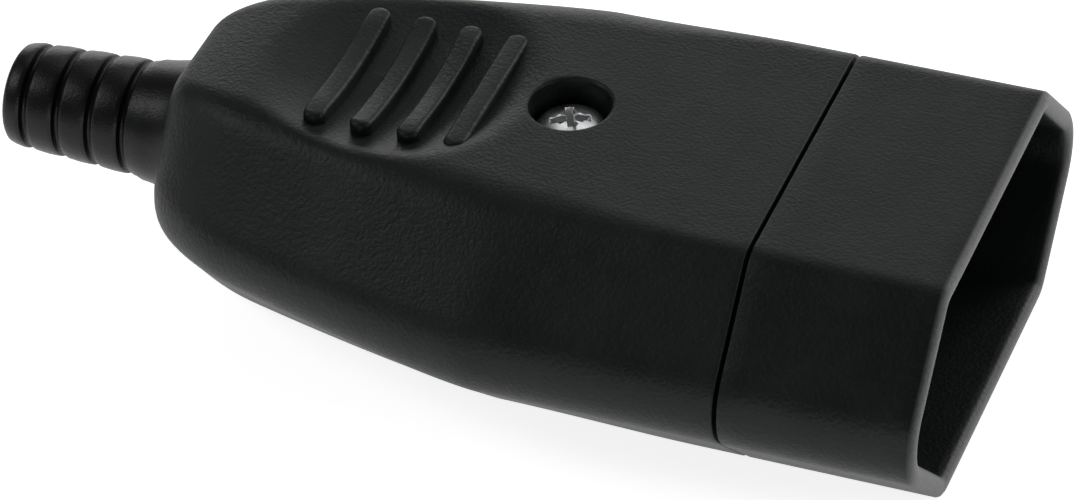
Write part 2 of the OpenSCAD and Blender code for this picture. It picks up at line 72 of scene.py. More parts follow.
# %% [markdown]
# ## The section of the body
# The body is a flat hexagon with six rounded corners. It is widest and thickest at the
# front and gets narrower and thinner towards the cord. A box with bevelled edges would
# miss how the flat top narrows while the slanted sides stay wide, so the section is
# written as a small rule: five sizes for any place along the body.

# %% The five sizes of a section
straight_length = 18.5 * mm
shoulder_length = 7.5 * mm
lap_end = 4 * mm
end_half_width, end_half_thickness = 11.8 * mm, 6.7 * mm
half_flat, tip_round, edge_round = 12.2 * mm, 4.3 * mm, 2.4 * mm
shoulder_draw, flat_draw = 3.6 * mm, 7.7 * mm


def smooth_step(t):
    t = min(1, max(0, t))
    return t * t * (3 - 2 * t)


def body_sizes(s):
    """Half width, half thickness, half flat, tip radius and edge radius, s behind the seam."""
    taper = min(1, max(0, (s - straight_length) / (cover_length - straight_length))) ** 1.25
    w = min(1, max(0, (s - cover_length + shoulder_length) / shoulder_length))
    shoulder = 1 - math.sqrt(1 - w * w)
    swell = smooth_step((s - lap_end) / (straight_length - lap_end))
    thinner = 0.25 * taper * taper + 0.75 * shoulder
    return [half_width - (half_width - end_half_width) * taper - shoulder_draw * shoulder,
            half_thickness - (half_thickness - end_half_thickness) * thinner,
            half_flat - 0.4 * mm * swell - flat_draw * (0.75 * taper + 0.25 * shoulder),
            tip_round - 0.7 * mm * taper,
            edge_round + 3 * mm * swell - 2.6 * mm * taper]


for s in (0, 0.02, 0.04, cover_length):
    print("at %.0f mm:" % (s / mm), [round(v / mm, 2) for v in body_sizes(s)])

# %% [markdown]
# A section becomes an outline of points: along the flat, round the edge, down the slant
# and round the tip. Every outline has the same number of points in the same order, so
# one outline can be joined to the next by straight strips of faces. Moving an outline
# inwards by a wall thickness gives the hollow inside.

# %% Turn a section into an outline
flat_steps, edge_steps, slant_steps, tip_steps = 26, 7, 9, 6
least_round = 0.4 * mm


def slant_angle(q):
    """How far the slanted side turns down from the flat top."""
    dx = q[0] - q[3] - q[2]
    return math.atan2(q[1], dx) - math.asin(q[3] / math.hypot(dx, q[1]))


def moved_in(q, w):
    """The five sizes of the same section, moved inwards by w all round."""
    return [q[0] - w, q[1] - w, q[2] - w * math.tan(slant_angle(q) / 2),
            max(least_round, q[3] - w), max(least_round, q[4] - w)]


def on_arc(centre, radius, angle):
    return centre + radius * Vector((math.sin(angle), math.cos(angle)))


def quarter(q):
    """Points from the middle of the top, round the edge and down the slant to the tip."""
    wide, thick, flat, tip, edge = q
    a = slant_angle(q)
    rest = math.pi / 2 - a
    corner = Vector((flat - edge * math.tan(a / 2), thick - edge))
    end = Vector((wide - tip, 0))
    top, low = on_arc(corner, edge, a), on_arc(end, tip, a)
    return ([Vector((corner.x * i / flat_steps, thick)) for i in range(flat_steps)]
            + [on_arc(corner, edge, a * i / edge_steps) for i in range(edge_steps)]
            + [top.lerp(low, i / slant_steps) for i in range(slant_steps)]
            + [on_arc(end, tip, a + rest * i / tip_steps) for i in range(tip_steps + 1)])


def outline(q):
    """All the way round, from the middle of the top."""
    p = quarter(q)
    half = p + [Vector((v.x, -v.y)) for v in reversed(p[:-1])]
    return half + [Vector((-v.x, v.y)) for v in reversed(half[1:-1])]


print("points in an outline:", len(outline(body_sizes(0))))

# %% [markdown]
# ## Joining outlines into a skin
# A loft joins outlines that stand one behind the other. Here a ring of edges starts as a
# circle, its corners are moved onto the first outline, and then the ring is extruded and
# moved onto the next, again and again. It is the modeller's way of pulling a tube along,
# and it keeps every face a clean four-sided one.

# %% Helpers: pull a ring of edges through a row of outlines


def place_ring(verts, d, shape):
    for v, p in zip(verts, shape):
        v.co = Vector((mouth - d, p.x, middle + p.y))


def pull(bm, verts, d, shape):
    """Extrudes the closed ring of edges through verts and puts it on the outline at depth d."""
    ring = [bm.edges.get((verts[i], verts[i - 1])) for i in range(len(verts))]
    made = set(bmesh.ops.extrude_edge_only(bm, edges=ring)["geom"])
    order = [next(e.other_vert(v) for e in v.link_edges if e.other_vert(v) in made)
             for v in verts]
    place_ring(order, d, shape)
    return order


def loft(bm, stations):
    """Pulls a ring through every (depth, outline), and gives the first and last ring."""
    d, shape = stations[0]
    first = bmesh.ops.create_circle(bm, segments=len(shape), radius=mm)["verts"]
    first = sorted(first, key=lambda v: math.atan2(v.co.y, v.co.x))
    place_ring(first, d, shape)
    last = first
    for d, shape in stations[1:]:
        last = pull(bm, last, d, shape)
    return first, last


# %% [markdown]
# ## Making a piece
# A bmesh is a working copy. To become a piece, its doubles are merged, its faces are turned
# outwards and it is written into a mesh. Edges sharper than a set angle stay crisp and the
# rest are shaded smooth. Every piece rides on the one body, at the origin.

# %% Helper: make a piece from a bmesh


def finished(bm, name, angle=35):
    """Merges doubles, turns the faces outwards and makes an object at the origin."""
    bmesh.ops.remove_doubles(bm, verts=bm.verts, dist=1e-6)
    bmesh.ops.recalc_face_normals(bm, faces=bm.faces)
    mesh = bpy.data.meshes.new(name)
    bm.to_mesh(mesh)
    bm.free()
    mesh.shade_smooth()
    mesh.set_sharp_from_angle(angle=math.radians(angle))
    piece = bpy.data.objects.new(name, mesh)
    bpy.context.scene.collection.objects.link(piece)
    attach(piece, "root")
    print(name, len(mesh.polygons), "faces")
    return piece


# %% [markdown]
# ## Turning, cutting and joining
# Holes are easiest to make as on the bench, with a tool that is run into the finished
# piece. The tools are turned: a row of points is spun about an axis, as on a lathe. The
# exact solver of the Boolean modifier then cuts the tool out of the piece, or joins it on,
# and the result replaces the piece's mesh, so that no live modifier is left.

# %% Helpers: turn a profile, combine two pieces


def turned(profile, axis="x", at=(0, 0, 0), steps=64):
    """Spins (along, radius) points about an axis. Off the axis, the row is closed to a ring."""
    bm = bmesh.new()
    verts = [bm.verts.new((a, r, 0)) for a, r in profile]
    for a, b in zip(verts, verts[1:]):
        bm.edges.new((a, b))
    if profile[0][1] > 0:
        bm.edges.new((verts[-1], verts[0]))
    bmesh.ops.spin(bm, geom=bm.verts[:] + bm.edges[:], cent=(0, 0, 0), axis=(1, 0, 0),
                   angle=2 * math.pi, steps=steps, use_merge=True)
    bmesh.ops.remove_doubles(bm, verts=bm.verts, dist=1e-7)
    if axis == "z":
        bmesh.ops.rotate(bm, verts=bm.verts, cent=(0, 0, 0),
                         matrix=Matrix.Rotation(-math.pi / 2, 3, "Y"))
    bmesh.ops.translate(bm, verts=bm.verts, vec=Vector(at))
    return bm


def combine(piece, other, operation):
    """Cuts the other piece out (DIFFERENCE) or joins it on (UNION), then throws it away."""
    mod = piece.modifiers.new("combine", "BOOLEAN")
    mod.operation = operation
    mod.solver = "EXACT"
    mod.object = other
    bpy.context.view_layer.update()
    graph = bpy.context.evaluated_depsgraph_get()
    mesh = bpy.data.meshes.new_from_object(piece.evaluated_get(graph))
    piece.modifiers.remove(mod)
    old, piece.data = piece.data, mesh
    bpy.data.meshes.remove(old)
    mesh.name = piece.name
    bpy.data.objects.remove(other)


# %% [markdown]
# ## The collar and socket face
# This is one black moulding: a hexagonal tube with a rounded mouth, and the socket face
# some way inside. It could be a thick tube with a plate set in it, but one skin has no
# joins to hide. The skin runs from the spigot over the edge at the seam, along the outside,
# over the rounded mouth and down into the recess, where the flat face closes it. From its
# other end it goes on inside the spigot to the back of the face.

# %% Sizes of the collar and the edges at the seam
collar_wall = 1.5 * mm
recess_depth = 12 * mm
face_back = recess_depth + 2.4 * mm
mouth_round, mouth_steps = 0.45 * mm, 6
seam_round, seam_steps = 0.14 * mm, 3
foot_bevel, foot_round = 0.12 * mm, 0.4 * mm
spigot_end = collar_length + 3.6 * mm
spigot_outside, spigot_inside = 1.9 * mm, 3.3 * mm
front = body_sizes(0)


def front_outline(inwards):
    """The section at the seam and the mouth, moved inwards."""
    return outline(moved_in(front, inwards))


def seam_edge(start, way):
    """Stations round the edge at the seam, towards the mouth (way -1) or the cord (way 1)."""
    rows = []
    for i in range(seam_steps + 1):
        a = math.radians(90 * i / seam_steps)
        rows.append((start + way * seam_round * (1 - math.cos(a)),
                     front_outline(seam_round * (1 - math.sin(a)))))
    return rows


print("spigot %.1f mm long" % ((spigot_end - collar_length) / mm))

# %% Make the collar
seam_side = collar_length - half_seam
stations = [(spigot_end, front_outline(spigot_outside)), (seam_side, front_outline(spigot_outside))]
stations += seam_edge(seam_side, -1)
stations += [(seam_side - f * (seam_side - 1 * mm), front_outline(0))
             for f in (0.12, 0.4, 0.7, 0.95)]
for i in range(mouth_steps + 1):
    a = math.radians(180 * i / mouth_steps)
    stations.append((mouth_round * (1 - math.sin(a)),
                     front_outline(collar_wall / 2 - (collar_wall / 2) * math.cos(a))))
stations += [(d, front_outline(collar_wall))
             for d in (1 * mm, 4 * mm, 8 * mm, 11 * mm, recess_depth - foot_round)]
stations += [(recess_depth - foot_bevel, front_outline(collar_wall + foot_bevel)),
             (recess_depth, front_outline(collar_wall + foot_round))]
bm = bmesh.new()
back_ring, face_ring = loft(bm, stations)
bmesh.ops.contextual_create(bm, geom=face_ring)
inside = pull(bm, back_ring, spigot_end, front_outline(spigot_inside))
inside = pull(bm, inside, face_back, front_outline(spigot_inside))
bmesh.ops.contextual_create(bm, geom=inside)
collar = finished(bm, "socket_collar")
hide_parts("socket_front")

# %% [markdown]
# The face has two round holes for the pins. The tool that cuts them is wider at its front,
# which leaves the little funnel that guides a pin in.

# %% Cut the two pin holes
pin_hole, pin_out = 2.3 * mm, 9.5 * mm
face_x = mouth - recess_depth
funnel = ((1, 1.1), (0.05, 1.1), (-0.25, 0.95), (-1, 0.12), (-1.3, 0), (-4, 0))
profile = [(face_x + 1 * mm, 0)]
profile += [(face_x + along * mm, pin_hole + wider * mm) for along, wider in funnel]
profile += [(face_x - 4 * mm, 0)]
for side in (-1, 1):
    tool = finished(turned(profile, at=(0, side * pin_out, middle)), "pin_tool")
    combine(collar, tool, "DIFFERENCE")
print("collar faces after the cuts:", len(collar.data.polygons))

# %% [markdown]
# ## The cover
# The cover is the other big moulding: it is pushed over the collar's spigot from behind and
# held by one screw. It is lofted like the collar, with stations close together where the
# shape turns. It gets its finger dish while the skin is pulled: a point that would stand
# above a large sphere is let down onto it. A plain cut with a sphere would leave a knife
# edge, so the two heights are blended over a third of a millimetre, as a moulding tool
# with a slightly rounded edge would leave them.

# %% Helpers: the finger dish
dish_at, dish_radius, dish_depth = 31 * mm, 10.6 * mm, 1.9 * mm
ball = (dish_radius ** 2 + dish_depth ** 2) / (2 * dish_depth)
blend_width = 0.35 * mm
lowest_dished = 3 * mm


def dish_height(s, y, lift=0.0):
    """Height of the dish above the middle of the body, at a place on the cover."""
    flat = (s - dish_at) ** 2 + y ** 2
    return half_thickness + ball - dish_depth + lift - math.sqrt(max(0, ball ** 2 - flat))


def soft_lower(a, b, width):
    """The lower of two heights, with a soft change from one to the other."""
    h = min(1, max(0, 0.5 + 0.5 * (b - a) / width))
    return b * (1 - h) + a * h - width * h * (1 - h)


def dished(s, shape):
    """Lets the points of an outline down onto the ball, on the top and the underside."""
    points = []
    for p in shape:
        z = abs(p.y)
        if z > lowest_dished:
            z = soft_lower(z, dish_height(s, p.x), blend_width)
        points.append(Vector((p.x, math.copysign(z, p.y))))
    return points


print("dish: ball radius %.1f mm" % (ball / mm))

# %% [markdown]
# The cover is hollow, and its wall has to stay whole under the dishes. So the inside has
# its own row of outlines, which is thinner where the dish comes down. The stations run from
# the closed end of the hollow to the seam, round its edge, and back along the outside.
# They stand close together in the dish and on the shoulder, where the shape turns.

# %% The places of the stations
cover_wall = 1.8 * mm
seam = collar_length + half_seam
hollow_places = (44, 43, 41, 38, 35, 32, 29, 26, 22, 18.5, 12, 6, 2)
shoulder_angles = (3, 8, 13, 18, 24, 30, 36, 42, 48, 54, 60, 66, 72, 78, 84, 90)
places = [0.6, 1.5, 3, 4, 5.5, 7, 8.5, 10, 11.5, 13, 14.5, 16, 17.5, 18.5, 19.2]
places += [19.6 + 0.4 * i for i in range(50)]
places += [39.5 + 7.5 * math.sin(math.radians(a)) for a in shoulder_angles]


def hollow_sizes(s):
    """The five sizes of the hollow, thinner under the dishes."""
    q = moved_in(body_sizes(s), cover_wall)
    q[1] -= dish_depth * max(0, 1 - ((s - dish_at) / (dish_radius + 1.5 * mm)) ** 2)
    return q


print("stations outside:", len(places), "inside:", len(hollow_places))

# %% Loft the cover, outside and inside
stations = [(collar_length + s * mm, outline(hollow_sizes(s * mm))) for s in hollow_places]
stations += [(seam, front_outline(cover_wall))] + seam_edge(seam, 1)
stations += [(collar_length + s * mm, dished(s * mm, outline(body_sizes(s * mm))))
             for s in places]
bm = bmesh.new()
inner_ring, rear_ring = loft(bm, stations)
bmesh.ops.contextual_create(bm, geom=inner_ring)
bmesh.ops.contextual_create(bm, geom=rear_ring)
cover = finished(bm, "cover_moulding")
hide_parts("rear_cover")

# %% [markdown]
# Round holes are cut with turned tools. The screw stands in a round pocket, 3.1 mm deep
# here, so a short post is joined under the pocket first, to give it walls and a floor
# inside the hollow cover. The tool for the pocket flares a little at the top: the flare
# leaves the softly broken edge of a real moulding. The rear wall gets a hole for the
# guard's neck and a shallow seat for its flare.

# %% Join the post and cut the pocket
screw_x = mouth - collar_length - 17.6 * mm
top = middle + half_thickness
pocket_depth, pocket_radius, post_radius, screw_hole = 3.1 * mm, 3 * mm, 4.5 * mm, 1.6 * mm
seat = top - pocket_depth
post_low, post_high = seat - 1.2 * mm, top - 0.9 * mm
post = turned([(post_low, 0), (post_low, post_radius), (post_high, post_radius), (post_high, 0)],
              axis="z", at=(screw_x, 0, 0))
combine(cover, finished(post, "post"), "UNION")
pocket = turned([(seat - 3 * mm, 0), (seat - 3 * mm, screw_hole), (seat, screw_hole),
                 (seat, pocket_radius), (top - 0.3 * mm, pocket_radius),
                 (top - 0.15 * mm, 3.04 * mm), (top - 0.05 * mm, 3.14 * mm),
                 (top, 3.3 * mm), (top + 1 * mm, 3.3 * mm), (top + 1 * mm, 0)],
                axis="z", at=(screw_x, 0, 0))
combine(cover, finished(pocket, "pocket"), "DIFFERENCE")

# %% Cut the neck hole
rear = mouth - collar_length - cover_length
neck_hole, flare_seat, flare_seat_depth = 5 * mm, 5.7 * mm, 0.8 * mm
neck = turned([(rear - 1 * mm, 0), (rear - 1 * mm, 5.85 * mm), (rear, 5.85 * mm),
               (rear + 0.12 * mm, flare_seat), (rear + flare_seat_depth, flare_seat),
               (rear + flare_seat_depth, neck_hole), (rear + 5 * mm, neck_hole),
               (rear + 5 * mm, 0)],
              at=(0, 0, middle))
combine(cover, finished(neck, "neck"), "DIFFERENCE")
print("cover faces:", len(cover.data.polygons))

# %% [markdown]
# ## The grip ribs
# Four raised ribs lie across each finger dish. They belong to the cover's moulding, but it
# is simpler to make one bar, bend its top to the dish and set it in place than to raise
# ribs out of the skin. Each starts as a cube. Its upright corners are bevelled into round
# ends and its top edge is broken. Then it is sliced across, so that it can bend.

# %% Make one rib
rib_pitch, rib_length, rib_width, rib_height = 3.6 * mm, 14 * mm, 1.7 * mm, 1.1 * mm
rib_middle, rib_count = 29.4 * mm, 4
rib_places = [rib_middle + (i - 1.5) * rib_pitch for i in range(rib_count)]


def rib(s, side):
    """One rib at s on the cover, on the top (side 1) or the underside (side -1)."""
    one = bmesh.new()
    bmesh.ops.create_cube(one, size=1)
    bmesh.ops.scale(one, verts=one.verts, vec=(rib_width, rib_length, 2 * mm))
    upright = [e for e in one.edges if abs(e.verts[0].co.z - e.verts[1].co.z) > mm]
    bmesh.ops.bevel(one, geom=upright, offset=0.49 * rib_width, offset_type="OFFSET",
                    segments=7, profile=0.5, affect="EDGES", material=-1)
    rim = [e for e in one.edges if min(v.co.z for v in e.verts) > 0.99 * mm]
    bmesh.ops.bevel(one, geom=rim, offset=0.4 * mm, offset_type="OFFSET", segments=4,
                    profile=0.5, affect="EDGES", material=-1)
    for i in range(-8, 9):
        bmesh.ops.bisect_plane(one, geom=one.verts[:] + one.edges[:] + one.faces[:],
                               plane_co=(0, i * 0.8 * mm, 0), plane_no=(0, 1, 0), dist=1e-7)
    for v in one.verts:
        raised = min(dish_height(s + v.co.x, v.co.y, rib_height), half_thickness - 0.1 * mm)
        z = raised + v.co.z - mm
        v.co = Vector((mouth - collar_length - s - v.co.x, v.co.y, middle + side * z))
    bmesh.ops.recalc_face_normals(one, faces=one.faces)
    mesh = bpy.data.meshes.new("rib")
    one.to_mesh(mesh)
    one.free()
    return mesh


# %% [markdown]
# All eight ribs, four on the top and four on the underside, become one piece.

# %% Set the ribs in place
bm = bmesh.new()
for s in rib_places:
    for side in (1, -1):
        bm.from_mesh(rib(s, side))
ribs = finished(bm, "grip_ribs")
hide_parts("rear_cover")

# %% [markdown]
# ## The bend guard
# The guard is a soft black rubber sleeve that keeps the cord from being bent sharply. It is
# round all along, so it is turned: half of its section is drawn as a row of points and spun
# about the middle of the cord. Four grooves run round it. Each groove is a row of twelve
# points, because rubber never leaves its tool with a knife edge.

# %% Sizes of the guard
flare_length, neck_radius, flange_radius, bore = 3.6 * mm, 4.9 * mm, 5.9 * mm, 2.9 * mm
groove_count = 4
groove = ((0.35, -0.02), (0.12, 0.0), (0.0, 0.06), (-0.03, 0.2), (-0.1, 0.46), (-0.2, 0.52),
          (-0.4, 0.52), (-0.5, 0.46), (-0.57, 0.2), (-0.6, 0.06), (-0.72, 0.0), (-0.95, -0.02))
tail = guard_low.x
root = rear + 0.7 * mm
flange_x = rear + 3.1 * mm
start, end = rear - flare_length, tail + 0.2 * mm
pitch = (start - end) / groove_count
print("one groove every %.2f mm" % (pitch / mm))

# %% Turn the guard


def guard_radius(x):
    """The tapering radius of the sleeve between its flare and its tail."""
    return 4.4 * mm - 0.5 * mm * (start - x) / (start - tail)


def guard_profile():
    """Half of the section: flange, neck, flare, grooves, tail and bore."""
    row = [(guard_high.x, flange_radius), (flange_x, flange_radius), (flange_x, neck_radius),
           (root, neck_radius), (root, 5.6 * mm), (rear + 0.1 * mm, 5.6 * mm),
           (rear - 0.3 * mm, 5.5 * mm), (rear - 0.7 * mm, 5.28 * mm),
           (rear - 1.3 * mm, 5.02 * mm), (rear - 2 * mm, 4.84 * mm),
           (rear - 2.8 * mm, 4.68 * mm), (rear - flare_length, 4.58 * mm)]
    for i in range(groove_count):
        x = start - pitch * (i + 0.3)
        row += [(x + along * mm, guard_radius(x + along * mm) - down * mm)
                for along, down in groove]
        ring_x = x - 0.6 * mm - (pitch - 0.6 * mm) / 2
        if i < groove_count - 1:
            row.append((ring_x, guard_radius(ring_x) + 0.05 * mm))
    row += [(tail + 0.5 * mm, 3.86 * mm), (tail + 0.2 * mm, 3.76 * mm),
            (tail + 0.05 * mm, 3.58 * mm), (tail, 3.35 * mm), (tail, 3.1 * mm),
            (tail + 0.08 * mm, 2.96 * mm), (tail + 0.25 * mm, bore), (tail + 9 * mm, bore),
            (guard_high.x - 0.2 * mm, bore), (guard_high.x, 3.1 * mm)]
    return row


guard = finished(turned(guard_profile(), at=(0, 0, middle), steps=72),
                 "bend_guard_rubber", angle=50)
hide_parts("bend_guard")

# %% [markdown]
# ## The cover screw
# A small steel screw with a domed head and a cross recess sits at the bottom of the pocket.
# The head and the shank are one turned shape. The recess is cut with a cross of two
# tapering bars, narrower at the bottom than at the top, as the punch that makes it is.

# %% Turn the screw
screw_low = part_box("cover_screw")[0]
head, shank = 2.65 * mm, 1.47 * mm
dome = ((0, 0.15), (0.1, 0), (0.75, 0), (1, 0.06), (1.25, 0.25), (1.45, 0.6), (1.62, 1.1),
        (1.72, 1.6))
profile = [(screw_low.z, 0), (screw_low.z, 1.1 * mm), (screw_low.z + 0.5 * mm, shank),
           (seat - 0.1 * mm, shank), (seat, 1.55 * mm)]
profile += [(seat + up * mm, head - inwards * mm) for up, inwards in dome]
profile += [(seat + 1.77 * mm, 0.5 * mm), (seat + 1.79 * mm, 0)]
screw = finished(turned(profile, axis="z", at=(screw_x, 0, 0), steps=48),
                 "cover_screw_steel")

# %% Punch the cross into its head
cross_turn = 0.44
for turn in (cross_turn, cross_turn + math.pi / 2):
    bm = bmesh.new()
    verts = bmesh.ops.create_cube(bm, size=1)["verts"]
    for v in verts:
        v.co.x *= (3.5 if v.co.z > 0 else 1.2) * mm
        v.co.y *= (0.62 if v.co.z > 0 else 0.4) * mm
        v.co.z = (2 if v.co.z > 0 else 0.55) * mm
    bmesh.ops.rotate(bm, verts=verts, cent=(0, 0, 0), matrix=Matrix.Rotation(turn, 3, "Z"))
    bmesh.ops.translate(bm, verts=verts, vec=(screw_x, 0, seat))
    combine(screw, finished(bm, "cross"), "DIFFERENCE")
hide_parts("cover_screw")

# %% [markdown]
# ## Finishes
# All the finishes are built from nodes, in the object's own coordinates, so they stay in
# place from every side and at every distance. Three effects are shared: the fine grain of
# a spark-eroded mould, soft cloudy differences in tone, and small scratches. Each becomes a
# node group with named inputs, built once and set differently in every material.

# %% Helper: start a node group


def new_group(name, inputs, outputs):
    group = bpy.data.node_groups.new(name, "ShaderNodeTree")
    for label, kind, value in inputs:
        socket = group.interface.new_socket(name=label, in_out="INPUT", socket_type=kind)
        if value is not None:
            socket.default_value = value
    for label, kind in outputs:
        group.interface.new_socket(name=label, in_out="OUTPUT", socket_type=kind)
    return (group, group.nodes.new("NodeGroupInput"), group.nodes.new("NodeGroupOutput"))


def add(tree, kind, settings=None, **links):
    """Adds a node, sets its inputs from numbers and links the rest."""
    node = tree.nodes.new(kind)
    for key, value in (settings or {}).items():
        setattr(node, key, value)
    for key, value in links.items():
        by_number = key[0] == "i" and key[1:].isdigit()
        socket = node.inputs[int(key[1:]) if by_number else key.replace("_", " ")]
        if isinstance(value, bpy.types.NodeSocket):
            tree.links.new(value, socket)
        else:
            socket.default_value = value
    return node


def math_node(tree, operation, a, b=0.0, clamp=False):
    return add(tree, "ShaderNodeMath", {"operation": operation, "use_clamp": clamp},
               i0=a, i1=b).outputs[0]


def mixed_colour(tree, factor, first, second):
    """Mixes two colours, each a socket or a fixed colour, by a factor."""
    return add(tree, "ShaderNodeMix", {"data_type": "RGBA"},
               i0=factor, i6=first, i7=second).outputs[2]


# %% [markdown]
# ### Grain
# A mould for a plastic housing is spark-eroded, and the plastic copies its fine pitted
# skin. Two noises make it: one at the size of the pits and one a few times larger, which
# keeps the surface from looking even. The group gives out a height for the bump and a mask
# for small changes of roughness.

# %% Node group: moulded grain
grain, grain_in, grain_out = new_group(
    "moulded grain",
    [("Position", "NodeSocketVector", None), ("Pit size", "NodeSocketFloat", 0.25),
     ("Depth", "NodeSocketFloat", 0.5)],
    [("Height", "NodeSocketFloat"), ("Mask", "NodeSocketFloat")])
per_metre = math_node(grain, "DIVIDE", 1000.0, grain_in.outputs["Pit size"])
pits = add(grain, "ShaderNodeTexNoise", Vector=grain_in.outputs["Position"], Scale=per_metre,
           Detail=2.0, Roughness=0.55)
coarse = math_node(grain, "MULTIPLY", per_metre, 0.28)
patches = add(grain, "ShaderNodeTexNoise", Vector=grain_in.outputs["Position"], Scale=coarse,
              Detail=2.0, Roughness=0.5)
mixed = math_node(grain, "ADD", math_node(grain, "MULTIPLY", pits.outputs[0], 0.7),
                  math_node(grain, "MULTIPLY", patches.outputs[0], 0.3))
grain.links.new(math_node(grain, "MULTIPLY", mixed, grain_in.outputs["Depth"]),
                grain_out.inputs["Height"])
grain.links.new(mixed, grain_out.inputs["Mask"])

# %% [markdown]
# ### Clouding
# Black plastic is never one black. The flow of the melt, handling and a little dust leave
# broad soft patches that are a touch paler or greyer. The group turns a large noise into a
# factor between two colours, and gives the mixed colour.

# %% Node group: clouded colour
cloud, cloud_in, cloud_out = new_group(
    "clouded colour",
    [("Position", "NodeSocketVector", None), ("Patch size", "NodeSocketFloat", 6.0),
     ("Dark", "NodeSocketColor", (0.01, 0.01, 0.01, 1)),
     ("Pale", "NodeSocketColor", (0.02, 0.02, 0.02, 1))],
    [("Colour", "NodeSocketColor"), ("Mask", "NodeSocketFloat")])
per_metre = math_node(cloud, "DIVIDE", 1000.0, cloud_in.outputs["Patch size"])
broad = add(cloud, "ShaderNodeTexNoise", Vector=cloud_in.outputs["Position"], Scale=per_metre,
            Detail=4.0, Roughness=0.6)
spread = add(cloud, "ShaderNodeMapRange", {"interpolation_type": "SMOOTHSTEP"},
             Value=broad.outputs[0], From_Min=0.35, From_Max=0.68)
tone = mixed_colour(cloud, spread.outputs[0], cloud_in.outputs["Dark"], cloud_in.outputs["Pale"])
cloud.links.new(tone, cloud_out.inputs["Colour"])
cloud.links.new(spread.outputs[0], cloud_out.inputs["Mask"])

# %% [markdown]
# ### Scratches
# Handling leaves short fine scratches, mostly lengthways. A noise that is stretched along
# the body and cut off sharply gives thin broken lines. The group hands out a mask.

# %% Node group: fine scratches
scratch, scratch_in, scratch_out = new_group(
    "fine scratches",
    [("Position", "NodeSocketVector", None), ("Amount", "NodeSocketFloat", 0.3)],
    [("Mask", "NodeSocketFloat")])
stretched = add(scratch, "ShaderNodeMapping", Vector=scratch_in.outputs["Position"],
                Rotation=(0.1, 0.2, 0.35), Scale=(120.0, 1700.0, 1700.0))
lines = add(scratch, "ShaderNodeTexNoise", Vector=stretched.outputs[0], Scale=1.0, Detail=1.0)
level = math_node(scratch, "SUBTRACT", 0.78, math_node(
    scratch, "MULTIPLY", scratch_in.outputs["Amount"], 0.14))
thin = add(scratch, "ShaderNodeMapRange", Value=lines.outputs[0], From_Min=level, From_Max=0.8)
scratch.links.new(thin.outputs[0], scratch_out.inputs["Mask"])
print("node groups:", [g.name for g in bpy.data.node_groups])

# %% [markdown]
# ### Black moulded plastic
# The housing is a hard plastic coloured black through and through, with a slightly green
# cast. It reflects a little, softly. Fine scratches are paler and smoother than the grain.
# A shared function builds the black plastics, because collar, cover and tray differ only in
# tone and grain. The first helpers give a new material its shader, and put a varying
# roughness and a bump on it.

# %% Helpers: shader, groups and surface


def shader_of(material):
    material.use_nodes = True
    tree = material.node_tree
    shader = tree.nodes["Principled BSDF"]
    place = tree.nodes.new("ShaderNodeTexCoord")
    return tree, shader, place.outputs["Object"]


def use(tree, group, **links):
    return add(tree, "ShaderNodeGroup", {"node_tree": group}, **links)


def set_surface(tree, shader, change, rough, height, strength, distance):
    """Links a roughness that varies about a middle value, and a bump."""
    tree.links.new(math_node(tree, "ADD", change, rough, True), shader.inputs["Roughness"])
    bump = add(tree, "ShaderNodeBump", Height=height, Strength=strength, Distance=distance)
    tree.links.new(bump.outputs[0], shader.inputs["Normal"])


def dress(piece, material):
    piece.data.materials.clear()
    piece.data.materials.append(material)


# %% [markdown]
# The mouth of the collar gets a painted highlight: its rim is coloured a paler grey where
# the lamps would catch its rounded edge. The rim is found by its place along the body, and
# the grain's mask breaks it up, so that the pale grey is uneven.

# %% Material maker: moulded plastic
scratch_grey = (0.09, 0.095, 0.092, 1)
# The pale grey of the painted highlight on the mouth's rim.
rim_highlight_grey = (0.17, 0.175, 0.17, 1)


def moulded_plastic(name, dark, pale, pit, depth, rough, patch=6.0, specular=0.26, rim=False):
    material = bpy.data.materials.new(name)
    tree, shader, place = shader_of(material)
    colour = use(tree, cloud, Position=place, Patch_size=patch, Dark=dark, Pale=pale)
    skin = use(tree, grain, Position=place, Pit_size=pit, Depth=depth)
    marks = use(tree, scratch, Position=place, Amount=0.1)
    finish = mixed_colour(tree, math_node(tree, "MULTIPLY", marks.outputs["Mask"], 0.1),
                          colour.outputs["Colour"], scratch_grey)
    if rim:
        # Painted highlight: near the mouth the colour is mixed towards a pale grey.
        split = add(tree, "ShaderNodeSeparateXYZ", Vector=place)
        near = add(tree, "ShaderNodeMapRange", Value=split.outputs["X"],
                   From_Min=mouth - 0.55 * mm, From_Max=mouth - 0.1 * mm)
        rim_highlight = math_node(tree, "MULTIPLY", near.outputs[0],
                           math_node(tree, "ADD", skin.outputs["Mask"], 0.35), True)
        finish = mixed_colour(tree, rim_highlight, finish, rim_highlight_grey)
    tree.links.new(finish, shader.inputs["Base Color"])
    change = math_node(tree, "ADD", math_node(tree, "MULTIPLY", skin.outputs["Mask"], 0.22),
                       math_node(tree, "MULTIPLY", marks.outputs["Mask"], -0.15))
    set_surface(tree, shader, change, rough - 0.11, skin.outputs["Height"], 0.6, 0.00012)
    shader.inputs["Specular IOR Level"].default_value = specular
    return material


# %% [markdown]
# Collar and cover come from the same plastic and share their values. Only the collar has
# the painted highlight on its rim. The moulded pieces inside are a little greyer, and their
# grain is coarser and shallower.

# %% Dress the black mouldings
housing_black = dict(dark=(0.0035, 0.0062, 0.0048, 1), pale=(0.0078, 0.0125, 0.0100, 1),
                     pit=0.3, depth=1.0, rough=0.48)
housing = moulded_plastic("black housing plastic", **housing_black)
dress(collar, moulded_plastic("black collar plastic", rim=True, **housing_black))
dress(cover, housing)
dress(ribs, housing)
inner_black = moulded_plastic("black inner plastic", (0.02, 0.021, 0.021, 1),
                              (0.035, 0.036, 0.036, 1), 0.35, 0.6, 0.45, patch=4.0)
for name in ("contact_tray", "contact_lid", "clamp_bar"):
    dress(nodes[name], inner_black)
print("black plastics:", [m.name for m in bpy.data.materials if "plastic" in m.name])

